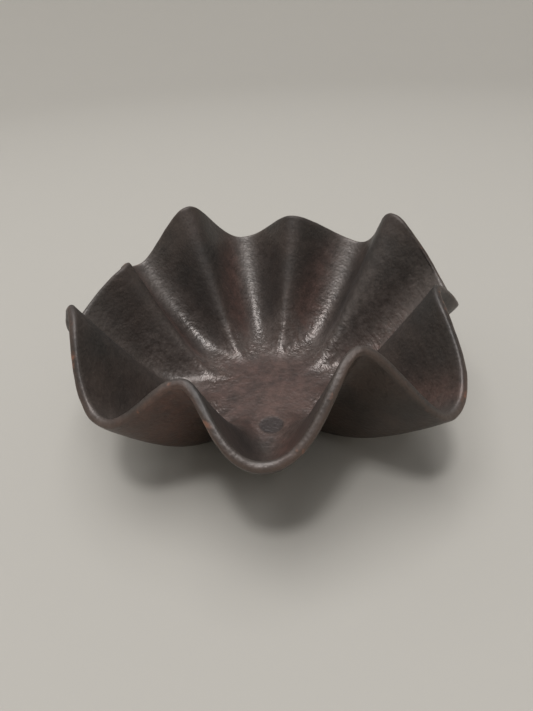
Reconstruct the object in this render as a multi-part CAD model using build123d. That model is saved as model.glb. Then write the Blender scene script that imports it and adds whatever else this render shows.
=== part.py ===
from build123d import *

import math
import os

# Fluted hammered copper bowl: one heavy sheet raised from a flat floor into eight open lobes,
# with a fold pressed inwards between each two lobes.
#
# Frame: origin at the centre of the resting face, +Z up, the widest lobe pointing along -Y.
# Lengths are in millimetres. Directions are in degrees, counted from +X towards +Y.

# Rim, at the middle of the metal: (direction, distance from the axis, height)
LOBE_TIPS = [
    (-91, 129, 61),
    (-46, 131, 53),
    (4, 122, 57),
    (52, 126, 59),
    (95, 127, 57),
    (136, 125, 57),
    (178, 116, 57),
    (228, 121, 58),
]
FOLD_CRESTS = [
    (-66, 105, 95),
    (-19, 102, 87),
    (29, 105, 98),
    (74, 100, 84),
    (118, 107, 96),
    (160, 93, 81),
    (203, 107, 93),
    (249, 103, 83),
]
REACH_FULLNESS = 1.18  # above 1, a lobe stays wide and its fold is narrow, seen from above
HEIGHT_FULLNESS = 1.05  # the same for the rise of the rim
FOOT_FULLNESS = 0.85  # the same for the edge of the floor, where the folds end broad and round

# The flat floor reaches out into the lobes and is cut back by the folds
LOBE_FOOT_RADIUS = 58.0
FOLD_FOOT_RADIUS = 36.0

# Wall, from the edge of the floor to the rim
FLOOR_THICKNESS = 3.0
RIM_THICKNESS = 5.0  # the edge was thickened by hammering it back
LOBE_STRAIGHTNESS = 0.78  # 1 is a straight gutter, 0 a parabola that steepens to the rim
FOLD_STRAIGHTNESS = 1.0
FOOT_SOFTNESS = 0.42  # share of the wall that curves up out of the floor
EDGE_DEPTH = 2.2  # how far the rounded edge stands beyond the parallel faces
EDGE_SQUARENESS = 2.6  # 2 is a half-round edge, more is flatter across the metal

# Sections that the surface is drawn through
POINTS_ROUND = 120
WALL_LEVELS = (0.0, 0.06, 0.13, 0.21, 0.31, 0.42, 0.54, 0.66, 0.78, 0.89, 0.96, 1.0)
EDGE_TURNS = (90, 60, 30, 0, -30, -60, -90)

# Half-widths of the differences that slopes are taken over
LEVEL_STEP = 0.001
DIRECTION_STEP = 0.1


def rim_stations():
    """Lobe tips and fold crests in order round the bowl, as (direction, reach, height, is_fold)."""
    stations = [(d % 360, r, h, 0) for d, r, h in LOBE_TIPS]
    stations += [(d % 360, r, h, 1) for d, r, h in FOLD_CRESTS]
    stations.sort()
    first, last = stations[0], stations[-1]
    return [(last[0] - 360, *last[1:]), *stations, (first[0] + 360, *first[1:])]


STATIONS = rim_stations()


def blend(at_tip, at_crest, share, fullness):
    """A value that eases from a lobe tip to a fold crest, level at both."""
    return at_tip + (at_crest - at_tip) * math.sin(math.pi / 2 * share**fullness) ** 2


def rim(direction):
    """(reach, height, share) of the rim in a direction. The share is 0 at a tip and 1 at a crest."""
    direction %= 360
    for before, after in zip(STATIONS, STATIONS[1:]):
        if before[0] <= direction <= after[0]:
            break
    along = (direction - before[0]) / (after[0] - before[0])
    if before[3]:
        tip, crest, share = after, before, 1 - along
    else:
        tip, crest, share = before, after, along
    reach = blend(tip[1], crest[1], share, REACH_FULLNESS)
    height = blend(tip[2], crest[2], share, HEIGHT_FULLNESS)
    return reach, height, share


def soft_ramp(level):
    """0 at the floor and 1 at the rim: straight, but for a soft start."""
    start = FOOT_SOFTNESS
    return (math.hypot(level, start) - start) / (math.hypot(1, start) - start)


def middle(direction, level):
    """Point in the middle of the metal: level 0 is the edge of the floor, level 1 the rim."""
    reach, height, share = rim(direction)
    foot = blend(LOBE_FOOT_RADIUS, FOLD_FOOT_RADIUS, share, FOOT_FULLNESS)
    straightness = blend(LOBE_STRAIGHTNESS, FOLD_STRAIGHTNESS, share, REACH_FULLNESS)
    radius = foot + (reach - foot) * level
    rise = straightness * soft_ramp(level) + (1 - straightness) * level**2
    bottom = FLOOR_THICKNESS / 2
    angle = math.radians(direction)
    return Vector(radius * math.cos(angle), radius * math.sin(angle), bottom + (height - bottom) * rise)


def up_the_wall(direction, level):
    below = middle(direction, max(level - LEVEL_STEP, 0))
    above = middle(direction, min(level + LEVEL_STEP, 1))
    return (above - below).normalized()


def inward(direction, level):
    """Unit normal of the middle surface, on the hollow side of the bowl."""
    if level == 0:
        return Vector(0, 0, 1)
    round_bowl = middle(direction + DIRECTION_STEP, level) - middle(direction - DIRECTION_STEP, level)
    return up_the_wall(direction, level).cross(round_bowl).normalized()


def thickness(level):
    return FLOOR_THICKNESS + (RIM_THICKNESS - FLOOR_THICKNESS) * level**2


def face_point(direction, level, side):
    """Point on the inner (side 1) or outer (side -1) face."""
    return middle(direction, level) + inward(direction, level) * (side * thickness(level) / 2)


def edge_point(direction, turn):
    """Point on the rounded edge: a turn of 90 is the inner face and -90 the outer face."""
    c, s = math.cos(math.radians(turn)), math.sin(math.radians(turn))
    power = 2 / EDGE_SQUARENESS
    across = math.copysign(abs(s) ** power, s) * RIM_THICKNESS / 2
    beyond = abs(c) ** power * EDGE_DEPTH
    return middle(direction, 1) + inward(direction, 1) * across + up_the_wall(direction, 1) * beyond


def ring(point_at):
    """Closed smooth wire through point_at(direction), all the way round."""
    points = [point_at(360 * i / POINTS_ROUND) for i in range(POINTS_ROUND)]
    return Wire([Edge.make_spline(points, periodic=True)])


def bowl_shell():
    """The whole bowl: inner face, rounded edge, outer face, and the two flat faces of the floor."""
    inner = [ring(lambda d: face_point(d, level, 1)) for level in WALL_LEVELS]
    outer = [ring(lambda d: face_point(d, level, -1)) for level in WALL_LEVELS]
    edge = [ring(lambda d: edge_point(d, turn)) for turn in EDGE_TURNS]
    faces = [Face(inner[0]), Face(outer[0])]
    for rings in (inner, edge, outer):
        faces += Shell.make_loft(rings).faces()
    return Solid(Shell(faces))


os.makedirs("parts", exist_ok=True)
shell = bowl_shell()
size = shell.bounding_box().size
print(f"bowl_shell: {size.X:.1f} x {size.Y:.1f} x {size.Z:.1f} mm, valid: {shell.is_valid}")
export_step(shell, "parts/bowl_shell.step")
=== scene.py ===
import math

import bpy
import numpy as np
from mathutils import Matrix, Vector, noise
from mathutils.kdtree import KDTree


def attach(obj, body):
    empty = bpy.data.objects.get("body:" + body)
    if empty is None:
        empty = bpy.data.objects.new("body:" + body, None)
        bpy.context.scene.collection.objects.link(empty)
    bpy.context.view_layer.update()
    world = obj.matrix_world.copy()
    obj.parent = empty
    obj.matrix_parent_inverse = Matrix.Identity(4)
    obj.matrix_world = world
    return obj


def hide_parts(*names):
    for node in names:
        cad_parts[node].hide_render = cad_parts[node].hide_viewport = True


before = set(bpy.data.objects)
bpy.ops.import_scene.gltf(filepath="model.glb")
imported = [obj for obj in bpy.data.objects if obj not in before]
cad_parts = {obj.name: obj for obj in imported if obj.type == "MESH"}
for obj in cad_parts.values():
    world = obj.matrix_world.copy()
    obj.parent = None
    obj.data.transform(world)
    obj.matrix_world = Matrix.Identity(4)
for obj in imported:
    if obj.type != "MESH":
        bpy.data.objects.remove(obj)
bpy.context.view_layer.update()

# ---------------------------------------------------------------- settings, in metres and degrees

NODE = "bowl_shell"

# Grid that the bowl is drawn on: columns run from the middle of the floor over the rim to the base
COLUMNS = 576
DISC_RADIUS = 0.026  # inside this the columns are thinned out towards the middle
DISC_BANDS = ((288, 9), (144, 6), (72, 4), (36, 3))  # columns and rings of each band
INNER_ROWS = 94
EDGE_ROWS = 14
OUTER_ROWS = 50
EDGE_HALF_WIDTH = 0.0050  # of wall on each side of the rim's crown that gets the close rows
HARMONICS_KEPT = 84  # round the bowl, so that the CAD mesh's facets don't show
HARMONICS_FADE = 1.25  # they fade out from the last one kept to this many times it
PROFILE_PASSES = 3  # of smoothing along each column
SAME_POINT_DIGITS = 7  # corners of the CAD mesh that agree to this many decimals are one point
OFF_THE_PLANE = 1e-12  # moves a corner that lies exactly in a cutting plane out of it

# Softening of the corner between floor and wall
FOOT_PASSES = 45
FOOT_HARMONICS = 22
FOOT_START, FOOT_END = 0.062, 0.090  # full inside the first reach, gone beyond the second

# How the foot of a lobe swings to one side: the lobe's bearing and the swing, in degrees
SWINGS = ((4, 7), (52, 2), (95, -2), (136, -5), (178, -6))
SWING_WIDTH = 17.0
SWING_REACH = (0.024, 0.050, 0.060, 0.122)  # starts, full from, full to, ends

# Hammer marks and slow waves, on both faces
FACET_SPACING = 0.0046
FACET_RADIUS = 0.040  # of the hammer's face
FACET_FORCE = (0.65, 1.35)
FACET_BLUR = 0.00003  # of the ridges between the marks
NEAREST_MARKS = 3  # that can touch at one point
FACETS_AT_RIM = 0.35  # share of their depth that is left on the rim's crown
EVENNESS_MEAN, EVENNESS_SWING, EVENNESS_SIZE = 0.75, 0.5, 0.035
WAVE_SIZE = 0.030
WAVE_DEPTH = 0.00030
WAVE_LOSS_ON_FLOOR = 0.6
RIM_CLEARANCE = (0.001, 0.007)  # from the crown, where the hammering fades in

# Noise, in bumps: how far each step of the seed moves it, and how far apart the two faces lie in it
SEED_SHIFT = (7.31, 3.17, 5.93)
FACE_SHIFT = 40

# Crinkles: (height, size across, size along)
BAND_CRINKLE = (0.00028, 0.0052, 0.0036)
FOLD_CRINKLE = (0.00055, 0.0045, 0.0032)

# Grit: (height, size)
CRINKLED_GRIT = (0.00020, 0.0030)
PLAIN_GRIT = (0.00005, 0.0050)
GRIT_ON_BANDS = 0.7

# The right lobe is broader on its far side, where its band lies on a ledge
LEDGE_DEPTH = 0.0045
LEDGE_ACROSS = 0.019  # from the middle of the lobe
LEDGE_WIDTH = 0.009
LEDGE_REACH = (0.050, 0.075, 0.105, 0.124)  # starts, full from, full to, ends

# The rim was beaten back on itself, so its crown is uneven: (height, size, seed)
CROWN_BUMPS = ((0.00038, 0.014, 13), (0.00022, 0.006, 17))
CROWN_WIDTH = 0.0045

# A round mark on the floor, towards the widest lobe
MARK_PLACE = (0.0025, -0.040)
MARK_RADIUS = 0.0080
MARK_EDGE = 0.0007
MARK_DEPTH = 0.00015
MARK_RING_GAP = 0.0003
MARK_RING_WIDTH = 0.0008
MARK_RING_HEIGHT = 0.00012

# The crinkled band down each lobe: its bearing at the rim and at the floor, and how strong it is
BANDS = (
    (-91, -91, 0.25),
    (-46, -44, 0.45),
    (9, 17, 1.0),
    (55, 56, 1.0),
    (95, 92, 1.0),
    (135, 129, 1.0),
    (173, 167, 0.5),
    (-132, -134, 0.4),
)
BAND_TURN = (0.045, 0.120)  # reaches between which a band turns from its floor to its rim bearing
BAND_START = (0.046, 0.062)
BAND_WIDTH_AT_FOOT, BAND_WIDTH_AT_RIM = 0.0055, 0.0100
BAND_WIDENING = (0.055, 0.120)
CHANNEL_AT_RIM = 0.35  # share of a band's crinkles that is left at the rim
CHANNEL_FADE = (0.112, 0.080)  # only that share beyond the first reach, full within the second
FOOT_RING = (0.030, 0.042, 0.058, 0.074)  # starts, full from, full to, ends
FOLD_FOOT_WIDTH = 0.020
FOLD_FOOT_CREASES = 0.30

# Where the feet of the folds are creased most: (bearing, reach, size)
CREASED = (
    (114, 0.046, 0.009),
    (70, 0.048, 0.009),
    (30, 0.050, 0.010),
    (99, 0.048, 0.011),
    (84, 0.056, 0.008),
    (60, 0.053, 0.010),
    (160, 0.034, 0.011),
    (148, 0.046, 0.009),
    (18, 0.050, 0.010),
    (10, 0.062, 0.010),
    (128, 0.052, 0.008),
    (-30, 0.046, 0.010),
    (-75, 0.058, 0.009),
    (-118, 0.056, 0.010),
    (-150, 0.044, 0.010),
)

# Where use has brightened it and where a highlight is painted in as lighter colour, besides the bands:
# (bearing, reach, size)
WEAR_AND_HIGHLIGHT_PATCHES = (
    (82, 0.050, 0.017),
    (108, 0.047, 0.013),
    (58, 0.052, 0.014),
    (22, 0.064, 0.022),
    (16, 0.078, 0.013),
    (12, 0.092, 0.011),
    (9, 0.106, 0.011),
    (168, 0.054, 0.014),
    (168, 0.072, 0.010),
    (150, 0.046, 0.012),
)
WEAR_AND_HIGHLIGHT_SPREAD = 1.2  # of the worn stretch with painted highlight beside a band, in widths of the band
# Shares of the painted highlight, partly real wear, on the bands and on the creased feet
WEAR_AND_HIGHLIGHT_ON_BANDS, WEAR_AND_HIGHLIGHT_ON_CREASES = 0.8, 0.5
FINE_CREASES_ON_BANDS = 0.8

# A grey sheen painted high on the bands as a lighter colour, and duller metal along the folds
PAINTED_SHEEN_WIDTH = 0.008
PAINTED_SHEEN_START = (0.080, 0.108)
RIDGE_WIDTH = 0.011
RIDGE_START = (0.038, 0.054)

# Where the patina is redder
RED_SIDE, RED_FLOOR, RED_OUTSIDE = 0.90, 0.60, 0.90
RED_SIDE_PLACE, RED_SIDE_WIDTH = 0.012, 0.008  # anticlockwise of the middle of a lobe
RED_SIDE_START = (0.045, 0.065)
RED_SIDE_TOP = (0.075, 0.045)  # heights where it is gone and where it is full
RED_FLOOR_FADE = (0.064, 0.040)  # reaches where it is gone and where it is full
RED_OUTSIDE_PLACE = (-0.046, -0.098)  # of a patch on the outer face, under the front left fold
RED_OUTSIDE_SIZE = (0.020, 0.028)
RUBBED_WIDTH = 0.0024  # of the rim's crown

# Camera, on a sensor as high as the picture. The sensor and the focal length are in millimetres
CAMERA_ELEVATION = 35.2
CAMERA_DISTANCE = 0.3487
CAMERA_AIM = Vector((0.0020, 0.0, 0.0281))
CAMERA_ROLL = -3.47
SENSOR = 36.0
FOCAL_LENGTH = 26.7
NEAREST_SEEN = 0.01

# Softboxes: name, direction from the bowl, width, watts
LIGHT_DISTANCE = 2.6
SOFTBOXES = (
    ("ceiling", (-0.12, 0.02, 1.0), 1.8, 38),
    ("lamp_left", (-0.08, -0.28, 1.0), 0.36, 16),
    ("lamp_right", (0.30, -0.60, 1.0), 0.40, 2.5),
    ("lamp_behind", (0.10, 0.45, 1.0), 0.45, 4),
    ("side_left", (-0.85, 0.40, 0.70), 1.0, 3),
)
ROOM_COLOUR = (0.95, 0.97, 1.0, 1)
ROOM_STRENGTH = 0.25
FLOOR_COLOUR = (0.475, 0.453, 0.415, 1)
FLOOR_ROUGHNESS, FLOOR_SPECULAR = 0.9, 0.2


# ---------------------------------------------------------------- the CAD's shape as a grid


def ramp(values, low, high):
    """0 at low, 1 at high, eased at both ends."""
    share = np.clip((values - low) / (high - low), 0, 1)
    return share * share * (3 - 2 * share)


def stretch(values, starts, full_from, full_to, ends):
    """0 before and after a stretch of the values and 1 in the middle of it, eased between."""
    return ramp(values, starts, full_from) * ramp(values, ends, full_to)


def hump(values, width):
    """1 where the values are 0, fading out on both sides."""
    return np.exp(-((values / width) ** 2))


def turn_between(bearings, others):
    """Turn from the second bearings to the first, from -180 to 180 degrees."""
    return (bearings - others + 180) % 360 - 180


def welded(name):
    """Corner points of a CAD node, each once, and its triangles."""
    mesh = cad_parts[name].data
    corners = np.empty(len(mesh.vertices) * 3)
    mesh.vertices.foreach_get("co", corners)
    mesh.calc_loop_triangles()
    triangles = np.empty(len(mesh.loop_triangles) * 3, np.int32)
    mesh.loop_triangles.foreach_get("vertices", triangles)
    points, same = np.unique(
        np.round(corners.reshape(-1, 3), SAME_POINT_DIGITS), axis=0, return_inverse=True
    )
    return points, same.ravel()[triangles].reshape(-1, 3)


def edges_of(triangles):
    """Each edge once, as two points, and the three edges of each triangle."""
    sides = np.sort(triangles[:, [0, 1, 1, 2, 2, 0]].reshape(-1, 2), axis=1)
    edges, used = np.unique(sides, axis=0, return_inverse=True)
    return edges, used.ravel().reshape(-1, 3)


def section(points, edges, triangle_edges, angle):
    """The solid's outline in an upright plane through the axis: (reach, height) in order round it."""
    c, s = math.cos(angle), math.sin(angle)
    off = points[:, 1] * c - points[:, 0] * s
    off[off == 0] = OFF_THE_PLANE
    a, b = edges.T
    crossed = (off[a] * off[b] < 0)[triangle_edges]
    used = crossed.sum(1) == 2
    pairs = triangle_edges[used][crossed[used]].reshape(-1, 2)
    beside = {}
    for p, q in pairs.tolist():
        beside.setdefault(p, []).append(q)
        beside.setdefault(q, []).append(p)
    start = int(pairs[0, 0])
    order, before, here = [start], start, beside[start][0]
    while here != start:
        order.append(here)
        one, other = beside[here]
        before, here = here, other if one == before else one
    a, b = edges[order].T
    share = (off[a] / (off[a] - off[b]))[:, None]
    at = points[a] + (points[b] - points[a]) * share
    return np.stack([at[:, 0] * c + at[:, 1] * s, at[:, 2]], 1)


def halves(outline):
    """Both halves of a section, each from the middle of the floor, over the rim, to the base's middle."""
    after = np.roll(outline, -1, axis=0)
    crossings = []
    for i in np.nonzero(outline[:, 0] * after[:, 0] <= 0)[0]:
        p, q = outline[i], after[i]
        if p[0] != q[0]:
            crossings.append((p[1] + (q[1] - p[1]) * p[0] / (p[0] - q[0]), int(i)))
    crossings.sort()
    (base, i_base), (floor, i_floor) = crossings[0], crossings[-1]
    turned = np.roll(outline, -(i_floor + 1), axis=0)
    count = (i_base - i_floor) % len(outline)
    one = np.vstack([[0, floor], turned[:count], [0, base]])
    other = np.vstack([[0, base], turned[count:], [0, floor]])[::-1]
    if one[1, 0] < 0:
        one, other = other, one
    return one, other * (-1, 1)


def low_passed(values, kept):
    """Values on a closed ring with their fine ripples taken out. The first axis runs round the ring."""
    waves = np.fft.rfft(values, axis=0)
    fade = ramp(np.arange(len(waves)), kept * HARMONICS_FADE, kept)
    return np.fft.irfft(waves * fade.reshape(-1, *[1] * (values.ndim - 1)), n=len(values), axis=0)


def eased(values, passes):
    """Values along the second axis smoothed without shrinking, with both ends held."""

    def once(v):
        out = v.copy()
        out[:, 1:-1] = (v[:, :-2] + 2 * v[:, 1:-1] + v[:, 2:]) / 4
        return out

    smooth = values
    for _ in range(passes):
        smooth = once(smooth)
    rest = values - smooth
    for _ in range(passes):
        rest = once(rest)
    return smooth + rest


def profile_grid():
    """(columns, rows, 3) points of the smooth bowl."""
    points, triangles = welded(NODE)
    edges, triangle_edges = edges_of(triangles)
    profiles = [None] * COLUMNS
    for i in range(COLUMNS // 2):
        outline = section(points, edges, triangle_edges, 2 * math.pi * i / COLUMNS)
        profiles[i], profiles[i + COLUMNS // 2] = halves(outline)
    lengths = [np.r_[0, np.cumsum(np.hypot(*np.diff(p, axis=0).T))] for p in profiles]
    crown = np.array([s[np.argmax(np.hypot(*p.T))] for s, p in zip(lengths, profiles)])
    crown = low_passed(crown, HARMONICS_KEPT // 2)
    made = []
    for p, s, top in zip(profiles, lengths, crown):
        stops = np.r_[
            np.linspace(DISC_RADIUS, top - EDGE_HALF_WIDTH, INNER_ROWS, endpoint=False),
            np.linspace(top - EDGE_HALF_WIDTH, top + EDGE_HALF_WIDTH, EDGE_ROWS, endpoint=False),
            np.linspace(top + EDGE_HALF_WIDTH, s[-1] - DISC_RADIUS, OUTER_ROWS),
        ]
        made.append(np.stack([np.interp(stops, s, p[:, 0]), np.interp(stops, s, p[:, 1])], 1))
    made = low_passed(np.array(made), HARMONICS_KEPT)
    for wall in (slice(0, INNER_ROWS), slice(INNER_ROWS + EDGE_ROWS, None)):
        made[:, wall] = eased(made[:, wall], PROFILE_PASSES)
    angle = 2 * math.pi * np.arange(COLUMNS)[:, None] / COLUMNS
    across, up = made[..., 0], made[..., 1]
    return np.stack([across * np.cos(angle), across * np.sin(angle), up], -1)


def with_soft_foot(grid):
    """The grid with the corner between floor and wall rounded off inside, as hammering leaves it."""
    inner = grid[:, :INNER_ROWS]
    height = low_passed(inner[..., 2], FOOT_HARMONICS)
    for _ in range(FOOT_PASSES):
        padded = np.pad(height, ((0, 0), (1, 1)), "edge")
        height = (padded[:, :-2] + 2 * padded[:, 1:-1] + padded[:, 2:]) / 4
    share = ramp(np.hypot(inner[..., 0], inner[..., 1]), FOOT_END, FOOT_START)
    soft = grid.copy()
    soft[:, :INNER_ROWS, 2] += (height - inner[..., 2]) * share
    return soft


def with_swings(grid):
    """The grid with the feet of some lobes moved round the bowl a little."""
    reach = np.hypot(grid[..., 0], grid[..., 1])
    bearing = np.degrees(np.arctan2(grid[..., 1], grid[..., 0]))
    share = stretch(reach, *SWING_REACH)
    turn = sum(swing * hump(turn_between(bearing, lobe), SWING_WIDTH) for lobe, swing in SWINGS)
    angle = np.radians(bearing + turn * share)
    return np.stack([reach * np.cos(angle), reach * np.sin(angle), grid[..., 2]], -1)


def normals_of(points):
    """Unit normals of the grid, out of the metal."""
    round_bowl = np.roll(points, -1, axis=0) - np.roll(points, 1, axis=0)
    n = np.cross(round_bowl, np.gradient(points, axis=1))
    n /= np.linalg.norm(n, axis=-1, keepdims=True)
    return -n if n[0, 0, 2] < 0 else n


def disc_plan():
    """(columns, share of the disc's radius) of each ring, from the outside in."""
    total = sum(rings for _, rings in DISC_BANDS) + 1
    plan, done = [], 0
    for count, rings in DISC_BANDS:
        for _ in range(rings):
            done += 1
            plan.append((count, 1 - done / total))
    return plan


def disc_points(ring):
    """Points of the rings inside a ring of the grid, then the middle."""
    middle = ring[:, 2].mean()
    made = []
    for count, share in disc_plan():
        at = ring[:: COLUMNS // count] * share
        at[:, 2] = middle + (ring[:: COLUMNS // count, 2] - middle) * share**2
        made.append(at)
    return np.vstack([*made, [[0, 0, middle]]])


def disc_faces(ids, first):
    """Faces from a ring of point numbers in to the middle, over points that count from first."""
    faces, outer = [], list(ids)
    for count, _ in disc_plan():
        inner = list(range(first, first + count))
        first += count
        for k in range(count):
            here, there = inner[k], inner[(k + 1) % count]
            if len(outer) == count:
                faces.append((outer[k], outer[(k + 1) % count], there, here))
            else:
                a, b, c = (outer[(2 * k + i) % len(outer)] for i in range(3))
                faces += [(a, b, here), (b, there, here), (b, c, there)]
        outer = inner
    return faces + [(outer[k], outer[(k + 1) % len(outer)], first) for k in range(len(outer))]


# ---------------------------------------------------------------- every point and where it is

FAR_ROW = 99  # beyond every row of the grid, for the points of the two discs
FAR_FROM_CROWN = 0.1
BASE_OFFSET = 0.3  # keeps the base's noise apart from the floor's
INSIDE_ROWS = 5  # on each side of the crown, where the inner face turns into the outer one
RIM_HARMONICS = 30
FLATNESS = (0.93, 0.995)  # upright parts of the normals where a face starts and ends to be floor

grid = with_swings(with_soft_foot(profile_grid()))
ROWS = grid.shape[1]
CROWN_ROW = INNER_ROWS + EDGE_ROWS // 2
floor_disc, base_disc = disc_points(grid[:, 0]), disc_points(grid[:, -1])

points = np.vstack([grid.reshape(-1, 3), floor_disc, base_disc])
upright = np.tile([0.0, 0.0, 1.0], (len(floor_disc), 1))
normals = np.vstack([normals_of(grid).reshape(-1, 3), upright, -upright])
steps = np.linalg.norm(np.diff(grid, axis=1), axis=-1)
run = np.concatenate([np.zeros((COLUMNS, 1)), np.cumsum(steps, axis=1)], axis=1)
disc_reach = np.hypot(floor_disc[:, 0], floor_disc[:, 1])
along = np.r_[(run + DISC_RADIUS).ravel(), disc_reach, disc_reach + BASE_OFFSET]
from_crown = np.abs(run - run[:, CROWN_ROW, None]).ravel()
from_crown = np.r_[from_crown, np.full(2 * len(floor_disc), FAR_FROM_CROWN)]
signed_row = np.tile(np.arange(ROWS, dtype=float) - CROWN_ROW, COLUMNS)
signed_row = np.r_[signed_row, np.full(len(floor_disc), -FAR_ROW), np.full(len(base_disc), FAR_ROW)]
inside = ramp(signed_row, INSIDE_ROWS, -INSIDE_ROWS)
reach, height = np.hypot(points[:, 0], points[:, 1]), points[:, 2]
bearing = np.degrees(np.arctan2(points[:, 1], points[:, 0]))


def turning_points(sign):
    """Bearings where the rim is highest (sign 1) or lowest (sign -1) between its neighbours."""
    smooth = low_passed(grid[:, CROWN_ROW, 2] * sign, RIM_HARMONICS)
    best = (smooth > np.roll(smooth, 1)) & (smooth >= np.roll(smooth, -1))
    return [360 * i / COLUMNS for i in np.nonzero(best)[0]]


LOBES, FOLDS = turning_points(-1), turning_points(1)


def off_line(lines):
    """Distance across to the nearest line out from the axis, positive anticlockwise, and its number."""
    turn = turn_between(bearing[:, None], lines)
    nearest = np.abs(turn).argmin(-1)
    return np.radians(turn[np.arange(len(turn)), nearest]) * reach, nearest


def off_band():
    """Distance across to the nearest crinkled band, and how strong that band is."""
    at_rim, at_floor, strength = np.array(BANDS, dtype=float).T
    distance, nearest = off_line(at_floor + (at_rim - at_floor) * ramp(reach, *BAND_TURN)[:, None])
    return distance, strength[nearest]


def patch(at_bearing, at_reach, size):
    """1 in a round patch of the inner face, fading out at its edge."""
    angle = math.radians(at_bearing)
    x, y = at_reach * math.cos(angle), at_reach * math.sin(angle)
    return hump(np.hypot(points[:, 0] - x, points[:, 1] - y), size) * inside


def wander(at, size, seed):
    """Smooth noise from about -1 to 1 with bumps of the given size."""
    shift = Vector(seed * step for step in SEED_SHIFT)
    return np.array([noise.noise(Vector(p) + shift) for p in (at / size).tolist()])


from_lobe, from_fold = off_line(np.array(LOBES))[0], off_line(np.array(FOLDS))[0]
from_band, band_strength = off_band()
off_edge = ramp(from_crown, *RIM_CLEARANCE)
flat_floor = ramp(normals[:, 2], *FLATNESS) * inside

# The crinkled bands and the creased feet of the folds
band_width = BAND_WIDTH_AT_FOOT + (BAND_WIDTH_AT_RIM - BAND_WIDTH_AT_FOOT) * ramp(reach, *BAND_WIDENING)
on_band = ramp(reach, *BAND_START) * inside * band_strength
channel = hump(from_band, band_width) * on_band
channel *= CHANNEL_AT_RIM + (1 - CHANNEL_AT_RIM) * ramp(reach, *CHANNEL_FADE)
foot_ring = stretch(reach, *FOOT_RING) * inside
creased = sum(patch(*c) for c in CREASED)
creased = np.clip(creased + FOLD_FOOT_CREASES * foot_ring * hump(from_fold, FOLD_FOOT_WIDTH), 0, 1)


# ---------------------------------------------------------------- hammering


def strikes(at, spacing, seed):
    """Places of the hammer blows on a face: no two closer than the spacing, in no order."""
    rng = np.random.default_rng(seed)
    cell = spacing / math.sqrt(3)
    near = [(i, j, k) for i in range(-2, 3) for j in range(-2, 3) for k in range(-2, 3)]
    kept = {}
    for p in at[rng.permutation(len(at))].tolist():
        key = tuple(int(v // cell) for v in p)
        if key in kept:
            continue
        others = (kept.get((key[0] + i, key[1] + j, key[2] + k)) for i, j, k in near)
        if all(q is None or math.dist(p, q) >= spacing for q in others):
            kept[key] = p
    return list(kept.values())


def facets(at, spacing, radius, seed):
    """Height over the deepest points of shallow round hammer marks that meet in soft ridges."""
    places = strikes(at, spacing, seed)
    force = np.random.default_rng(seed + 1).uniform(*FACET_FORCE, len(places))
    tree = KDTree(len(places))
    for i, p in enumerate(places):
        tree.insert(p, i)
    tree.balance()
    cups = []
    for p in at.tolist():
        cups.append([d * d / (2 * radius) * force[i] for _, i, d in tree.find_n(p, NEAREST_MARKS)])
    cups = np.array(cups)
    low = cups.min(axis=1)
    return low - FACET_BLUR * np.log(np.exp(-(cups - low[:, None]) / FACET_BLUR).sum(axis=1))


def hammering():
    """Height of the hammer marks and of the slow waves under them."""
    marks = np.zeros(len(points))
    for face, seed in ((signed_row < 0, 11), (signed_row >= 0, 23)):
        on_face = facets(points[face], FACET_SPACING, FACET_RADIUS, seed)
        marks[face] = on_face - on_face.mean()
    evenness = EVENNESS_MEAN + EVENNESS_SWING * wander(points, EVENNESS_SIZE, seed=31)
    marks *= (FACETS_AT_RIM + (1 - FACETS_AT_RIM) * off_edge) * evenness
    waves = WAVE_DEPTH * wander(points, WAVE_SIZE, seed=7)
    return marks + waves * off_edge * (1 - WAVE_LOSS_ON_FLOOR * flat_floor)


def crinkle(shape, from_line, shift, seed):
    """Height of crinkles that lie along a line. The shift keeps the two kinds apart in the noise."""
    high, size_across, size_along = shape
    lay = np.stack([from_line / size_across, along / size_along, shift + inside * FACE_SHIFT], -1)
    return high * wander(lay, 1.0, seed)


def grit(shape, seed):
    """Height of fine bumps that lie in no direction."""
    high, size = shape
    return high * wander(points, size, seed)


def crinkling():
    """Height of the crinkles on the bands and the feet of the folds, and of the grit."""
    made = crinkle(BAND_CRINKLE, from_band, shift=0, seed=3) * channel
    made += crinkle(FOLD_CRINKLE, from_fold, shift=FACE_SHIFT / 2, seed=5) * creased
    made += grit(CRINKLED_GRIT, seed=41) * np.clip(GRIT_ON_BANDS * channel + creased, 0, 1)
    return made + grit(PLAIN_GRIT, seed=43) * off_edge


def ledge():
    """The ledge in the right lobe: the wall moves outwards, so it sinks inside and rises outside."""
    right_lobe = min(LOBES, key=lambda lobe: abs(turn_between(lobe, 0)))
    across = np.radians(turn_between(bearing, right_lobe)) * reach
    on_ledge = hump(across - LEDGE_ACROSS, LEDGE_WIDTH) * stretch(reach, *LEDGE_REACH)
    return -LEDGE_DEPTH * on_ledge * (2 * inside - 1)


def crown_bumps():
    """Height of the bumps on the rim's crown."""
    made = sum(high * wander(points, size, seed) for high, size, seed in CROWN_BUMPS)
    return made * hump(from_crown, CROWN_WIDTH)


from_mark = np.hypot(points[:, 0] - MARK_PLACE[0], points[:, 1] - MARK_PLACE[1])
on_mark = ramp(from_mark, MARK_RADIUS + MARK_EDGE, MARK_RADIUS - MARK_EDGE) * inside
mark_ring = hump(from_mark - MARK_RADIUS - MARK_RING_GAP, MARK_RING_WIDTH) * inside

lift = hammering() + crinkling() + ledge() + crown_bumps()
lift += MARK_RING_HEIGHT * mark_ring - MARK_DEPTH * on_mark
shaped = points + normals * lift[:, None]
shaped[:, 2] = np.maximum(shaped[:, 2], 0)


# ---------------------------------------------------------------- the mesh


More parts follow.
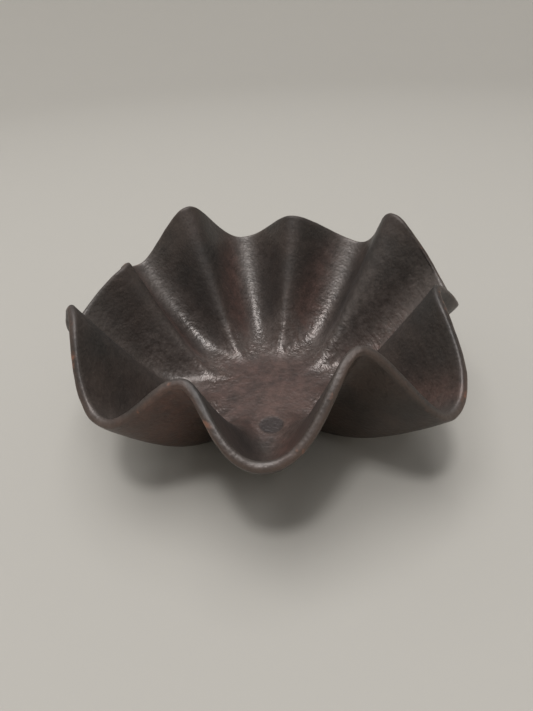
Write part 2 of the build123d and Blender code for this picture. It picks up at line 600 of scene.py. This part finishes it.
def bowl_mesh():
    """The whole bowl as one closed mesh."""
    faces = []
    for i in range(COLUMNS):
        a, b = i * ROWS, (i + 1) % COLUMNS * ROWS
        faces += [(a + k, a + k + 1, b + k + 1, b + k) for k in range(ROWS - 1)]
    first = COLUMNS * ROWS
    floor_ring = range(0, first, ROWS)
    base_ring = range(ROWS - 1, first, ROWS)
    faces += disc_faces(floor_ring, first)
    faces += [f[::-1] for f in disc_faces(base_ring, first + len(floor_disc))]
    made = bpy.data.meshes.new("bowl")
    made.from_pydata(shaped.tolist(), [], faces)
    made.shade_smooth()
    return made


mesh = bowl_mesh()
bowl = bpy.data.objects.new("bowl", mesh)
bpy.context.scene.collection.objects.link(bowl)
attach(bowl, "root")
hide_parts(NODE)


# ---------------------------------------------------------------- masks for the material


def reddened():
    """Where the patina is redder: one side of each lobe, the floor, and a patch on the outer face."""
    side = hump(from_lobe - RED_SIDE_PLACE, RED_SIDE_WIDTH) * ramp(reach, *RED_SIDE_START)
    side *= ramp(height, *RED_SIDE_TOP) * inside
    on_floor = ramp(reach, *RED_FLOOR_FADE) * inside
    (x, y), (wide, long) = RED_OUTSIDE_PLACE, RED_OUTSIDE_SIZE
    under_fold = hump(points[:, 0] - x, wide) * hump(points[:, 1] - y, long) * (1 - inside)
    return np.clip(RED_SIDE * side + RED_FLOOR * on_floor + RED_OUTSIDE * under_fold, 0, 1)


def wear_and_painted_highlight():
    """Where use has brightened it and where a highlight is painted in as lighter colour: patches,
    stretches along the bands, and the creased feet.
    """
    beside_band = hump(from_band, WEAR_AND_HIGHLIGHT_SPREAD * band_width) * on_band
    return np.clip(sum(patch(*w) for w in WEAR_AND_HIGHLIGHT_PATCHES) + WEAR_AND_HIGHLIGHT_ON_BANDS * beside_band + WEAR_AND_HIGHLIGHT_ON_CREASES * creased, 0, 1)


MASKS = {
    "inside": inside,
    "reddened": reddened(),
    "rubbed": hump(from_crown, RUBBED_WIDTH),
    # painted highlight, partly real wear: lighter where the metal catches light
    "wear_and_painted_highlight": wear_and_painted_highlight(),
    # painted sheen: a lighter grey high on the bands
    "painted_sheen": hump(from_band, PAINTED_SHEEN_WIDTH) * ramp(reach, *PAINTED_SHEEN_START) * inside * band_strength,
    "ridge": hump(from_fold, RIDGE_WIDTH) * ramp(reach, *RIDGE_START) * inside,
    "creased": np.clip(creased + FINE_CREASES_ON_BANDS * channel, 0, 1),
    "mark": on_mark,
    "mark_ring": mark_ring,
}
for name, values in MASKS.items():
    mesh.attributes.new(name, "FLOAT", "POINT").data.foreach_set("value", values.astype(np.float32))

# Place across and along the nearest band, for the direction of the fine creases
lay = mesh.attributes.new("lay", "FLOAT_VECTOR", "POINT")
lay.data.foreach_set("vector", np.stack([from_band, along, inside], -1).astype(np.float32).ravel())


# ---------------------------------------------------------------- material


class Nodes:
    """Short ways to add shader nodes to a material."""

    def __init__(self, name):
        self.material = bpy.data.materials.new(name)
        self.material.use_nodes = True
        self.tree = self.material.node_tree
        self.shader = self.tree.nodes["Principled BSDF"]

    def put(self, socket, value):
        if isinstance(value, bpy.types.NodeSocket):
            self.tree.links.new(value, socket)
        else:
            socket.default_value = value

    def add(self, kind, **inputs):
        node = self.tree.nodes.new(kind)
        for name, value in inputs.items():
            self.put(node.inputs[name.replace("_", " ")], value)
        return node

    def math(self, operation, *values):
        node = self.tree.nodes.new("ShaderNodeMath")
        node.operation = operation
        for socket, value in zip(node.inputs, values):
            self.put(socket, value)
        return node.outputs[0]

    def times(self, first, *others):
        """The product of all the values."""
        for other in others:
            first = self.math("MULTIPLY", first, other)
        return first

    def attribute(self, name, output="Fac"):
        node = self.tree.nodes.new("ShaderNodeAttribute")
        node.attribute_name = name
        return node.outputs[output]

    def noise(self, at, size, detail, rough):
        """Noise from 0 to 1 with bumps of the given size in metres."""
        node = self.add("ShaderNodeTexNoise", Vector=at, Scale=1 / size, Detail=detail, Roughness=rough)
        return node.outputs["Fac"]

    def cells(self, at, size):
        """Distance from the middle of the nearest cell, in cells, with soft borders."""
        node = self.add("ShaderNodeTexVoronoi", Vector=at, Scale=1 / size)
        node.feature = "SMOOTH_F1"
        return node.outputs["Distance"]

    def level(self, value, low, high, to_low=0.0, to_high=1.0):
        """The value mapped from one range to another, clamped."""
        node = self.tree.nodes.new("ShaderNodeMapRange")
        for socket, v in zip(node.inputs, (value, low, high, to_low, to_high)):
            self.put(socket, v)
        return node.outputs[0]

    def blend(self, share, first, second, kind="MIX"):
        """Two colours mixed."""
        node = self.tree.nodes.new("ShaderNodeMix")
        node.data_type, node.blend_type = "RGBA", kind
        self.put(node.inputs[0], share)
        self.put(node.inputs[6], first)
        self.put(node.inputs[7], second)
        return node.outputs[2]


DARK_PATINA = (0.037, 0.031, 0.0275, 1)
BROWN_PATINA = (0.066, 0.049, 0.041, 1)
RED_PATINA = (0.135, 0.073, 0.059, 1)
RUBBED_BROWN = (0.145, 0.098, 0.080, 1)
# Painted highlight, partly real wear: a lighter grey-brown where the metal catches light
WEAR_AND_HIGHLIGHT_BROWN = (0.150, 0.124, 0.111, 1)
# Painted sheen: a lighter grey standing in for the highlight high on the bands
PAINTED_SHEEN_GREY = (0.165, 0.145, 0.132, 1)
BARE_COPPER = (0.60, 0.27, 0.17, 1)
STAIN = (0.040, 0.030, 0.028, 1)
INSIDE_TINT = (1, 1, 1, 1)
OUTSIDE_TINT = (0.92, 0.80, 0.70, 1)

# How much of a colour shows where its mask is full
PAINTED_SHEEN_SHARE, RUBBED_SHARE, BARE_SHARE, STAIN_SHARE, RING_SHARE = 0.5, 0.25, 0.55, 0.90, 0.35

# Noise in the patina: (size, detail, roughness)
BROAD = (0.040, 3, 0.5)
SPOTS = (0.011, 3, 0.65)
MOTTLE = (0.0075, 4, 0.6)
WEAR = (0.0045, 3, 0.6)
GRAIN = (0.0013, 3, 0.6)

# How a value is mapped: from low and high to 0 and 1, or to the two values that follow
BROAD_LEVELS = (0.38, 0.62)
SPOT_LEVELS = (0.60, 0.70)
RED_LEVELS = (0.30, 0.62, 0.45, 1.0)
WEAR_LEVELS = (0.35, 0.65, 0.35, 0.85)
SHADE_LEVELS = (0.25, 0.75, 0.80, 1.20)
ROUGHNESS_LEVELS = (0.3, 0.7, 0.42, 0.52)
FINE_LEVELS = (0.0, 0.6, 0.55, 1.0)  # over the creased mask, so plain walls have less fine relief

# Gloss
METALLIC = 0.35
BARE_METALLIC = 0.4  # more where the copper is bare
SPECULAR = 0.85
ROUGHNESS_CHANGES = (
    ("creased", -0.17),
    ("rubbed", -0.08),
    ("wear_and_painted_highlight", -0.05),
    ("painted_sheen", 0.12),
    ("ridge", 0.16),
)

# Relief that is finer than the mesh
RELIEF_DEPTH = 0.00045
CREASE_ACROSS, CREASE_ALONG = 0.0042, 0.0019
CREASE_FACE_SHIFT = 9.0  # keeps the two faces apart in the noise
PIT_SIZE = 0.0021
CREASE_HEIGHT, PIT_HEIGHT, GRAIN_HEIGHT = 1.5, 0.70, 0.45  # in relief depths


def colour_of(m, at, mottle, grain, bare):
    """Mottled dark brown, changed where the masks say."""
    colour = m.blend(m.level(m.noise(at, *BROAD), *BROAD_LEVELS), DARK_PATINA, BROWN_PATINA)
    red = m.times(m.attribute("reddened"), m.level(mottle, *RED_LEVELS))
    colour = m.blend(red, colour, RED_PATINA)
    uneven = m.level(m.noise(at, *WEAR), *WEAR_LEVELS)
    # Painted highlight, partly real wear: lighter grey-brown patches and stretches beside the bands
    colour = m.blend(m.times(m.attribute("wear_and_painted_highlight"), uneven), colour, WEAR_AND_HIGHLIGHT_BROWN)
    # Painted sheen: lighter grey high on the bands
    colour = m.blend(m.times(m.attribute("painted_sheen"), PAINTED_SHEEN_SHARE), colour, PAINTED_SHEEN_GREY)
    colour = m.blend(m.times(m.attribute("rubbed"), RUBBED_SHARE), colour, RUBBED_BROWN)
    colour = m.blend(bare, colour, BARE_COPPER)
    colour = m.blend(m.times(m.attribute("mark"), STAIN_SHARE), colour, STAIN)
    colour = m.blend(m.times(m.attribute("mark_ring"), RING_SHARE), colour, RUBBED_BROWN)
    shade = m.times(m.level(mottle, *SHADE_LEVELS), m.level(grain, *SHADE_LEVELS))
    grey = m.tree.nodes.new("ShaderNodeCombineColor")
    for socket in grey.inputs:
        m.put(socket, shade)
    colour = m.blend(1.0, colour, grey.outputs[0], "MULTIPLY")
    return m.blend(1.0, colour, m.blend(m.attribute("inside"), OUTSIDE_TINT, INSIDE_TINT), "MULTIPLY")


def roughness_of(m, mottle):
    """Waxed and uneven, glossier where it is creased, rubbed, worn or under the painted highlight, duller
    on the painted sheen and ridges.
    """
    rough = m.level(mottle, *ROUGHNESS_LEVELS)
    for name, change in ROUGHNESS_CHANGES:
        rough = m.math("ADD", rough, m.times(m.attribute(name), change))
    return rough


def relief_of(m, at, grain):
    """Normal of the fine creases, pits and grain."""
    lie = (1 / CREASE_ACROSS, 1 / CREASE_ALONG, CREASE_FACE_SHIFT)
    lay = m.add("ShaderNodeMapping", Vector=m.attribute("lay", "Vector"), Scale=lie).outputs[0]
    creases = m.add("ShaderNodeTexNoise", Vector=lay, Scale=1.0, Detail=2.0).outputs["Fac"]
    fine = m.math("ADD", m.times(m.cells(at, PIT_SIZE), PIT_HEIGHT), m.times(grain, GRAIN_HEIGHT))
    fine = m.times(fine, m.level(m.attribute("creased"), *FINE_LEVELS))
    relief = m.math("ADD", m.times(creases, m.attribute("creased"), CREASE_HEIGHT), fine)
    return m.add("ShaderNodeBump", Height=relief, Strength=1.0, Distance=RELIEF_DEPTH).outputs[0]


def patinated_copper():
    """Dark brown copper with a waxed, hammered skin."""
    m = Nodes("patinated_copper")
    at = m.tree.nodes.new("ShaderNodeTexCoord").outputs["Object"]
    mottle = m.noise(at, *MOTTLE)
    grain = m.noise(at, *GRAIN)
    spots = m.level(m.noise(at, *SPOTS), *SPOT_LEVELS)
    bare = m.times(m.attribute("rubbed"), spots, BARE_SHARE)
    m.put(m.shader.inputs["Base Color"], colour_of(m, at, mottle, grain, bare))
    m.put(m.shader.inputs["Roughness"], roughness_of(m, mottle))
    m.put(m.shader.inputs["Metallic"], m.math("ADD", m.times(bare, BARE_METALLIC), METALLIC))
    m.put(m.shader.inputs["Specular IOR Level"], SPECULAR)
    m.put(m.shader.inputs["Normal"], relief_of(m, at, grain))
    return m.material


mesh.materials.append(patinated_copper())

# ---------------------------------------------------------------- stage, lights and camera


def floor_material():
    """Plain and dull."""
    m = Nodes("pale_floor")
    m.put(m.shader.inputs["Base Color"], FLOOR_COLOUR)
    m.put(m.shader.inputs["Roughness"], FLOOR_ROUGHNESS)
    m.put(m.shader.inputs["Specular IOR Level"], FLOOR_SPECULAR)
    return m.material


def floor_mesh():
    """A pale floor that curves up into a low wall all round, far outside the bowl."""
    flat, bend, top, around, bend_steps = 1.3, 0.9, 1.6, 96, 12
    profile = []
    for i in range(bend_steps + 1):
        turn = math.radians(90 * i / bend_steps)
        profile.append((flat + bend * math.sin(turn), bend * (1 - math.cos(turn))))
    profile.append((flat + bend, top))
    vertices = []
    for radius, z in profile:
        for i in range(around):
            angle = 2 * math.pi * i / around
            vertices.append((radius * math.cos(angle), radius * math.sin(angle), z))
    faces = [tuple(range(around))]
    for k in range(len(profile) - 1):
        for i in range(around):
            j = (i + 1) % around
            faces.append((k * around + i, (k + 1) * around + i, (k + 1) * around + j, k * around + j))
    made = bpy.data.meshes.new("floor")
    made.from_pydata(vertices, [], faces)
    made.shade_smooth()
    return made


def add_softbox(name, towards, width, watts):
    """A square light that shines at the bowl from a direction."""
    data = bpy.data.lights.new(name, "AREA")
    data.size, data.energy = width, watts
    light = bpy.data.objects.new(name, data)
    light.location = Vector(towards).normalized() * LIGHT_DISTANCE
    light.rotation_mode = "QUATERNION"
    light.rotation_quaternion = light.location.to_track_quat("Z", "Y")
    bpy.context.scene.collection.objects.link(light)


def add_room():
    """Even light from all round."""
    world = bpy.data.worlds.new("room")
    world.use_nodes = True
    background = world.node_tree.nodes["Background"]
    background.inputs["Color"].default_value = ROOM_COLOUR
    background.inputs["Strength"].default_value = ROOM_STRENGTH
    bpy.context.scene.world = world


def add_camera():
    """The camera in front of the bowl, looking down at it and held a little askew."""
    elevation, roll = math.radians(CAMERA_ELEVATION), math.radians(CAMERA_ROLL)
    forward = Vector((0, math.cos(elevation), -math.sin(elevation)))
    level_right, level_up = Vector((1, 0, 0)), Vector((0, math.sin(elevation), math.cos(elevation)))
    right = level_right * math.cos(roll) + level_up * math.sin(roll)
    up = level_up * math.cos(roll) - level_right * math.sin(roll)
    data = bpy.data.cameras.new("camera")
    data.sensor_fit = "VERTICAL"
    data.sensor_height = data.sensor_width = SENSOR
    data.lens = FOCAL_LENGTH
    data.clip_start = NEAREST_SEEN
    camera = bpy.data.objects.new("camera", data)
    turned = Matrix((right, up, -forward)).transposed().to_4x4()
    camera.matrix_world = Matrix.Translation(CAMERA_AIM - forward * CAMERA_DISTANCE) @ turned
    bpy.context.scene.collection.objects.link(camera)
    bpy.context.scene.camera = camera


floor = bpy.data.objects.new("floor", floor_mesh())
floor.data.materials.append(floor_material())
bpy.context.scene.collection.objects.link(floor)

add_room()
for box in SOFTBOXES:
    add_softbox(*box)
add_camera()
bpy.context.scene.view_settings.view_transform = "Standard"
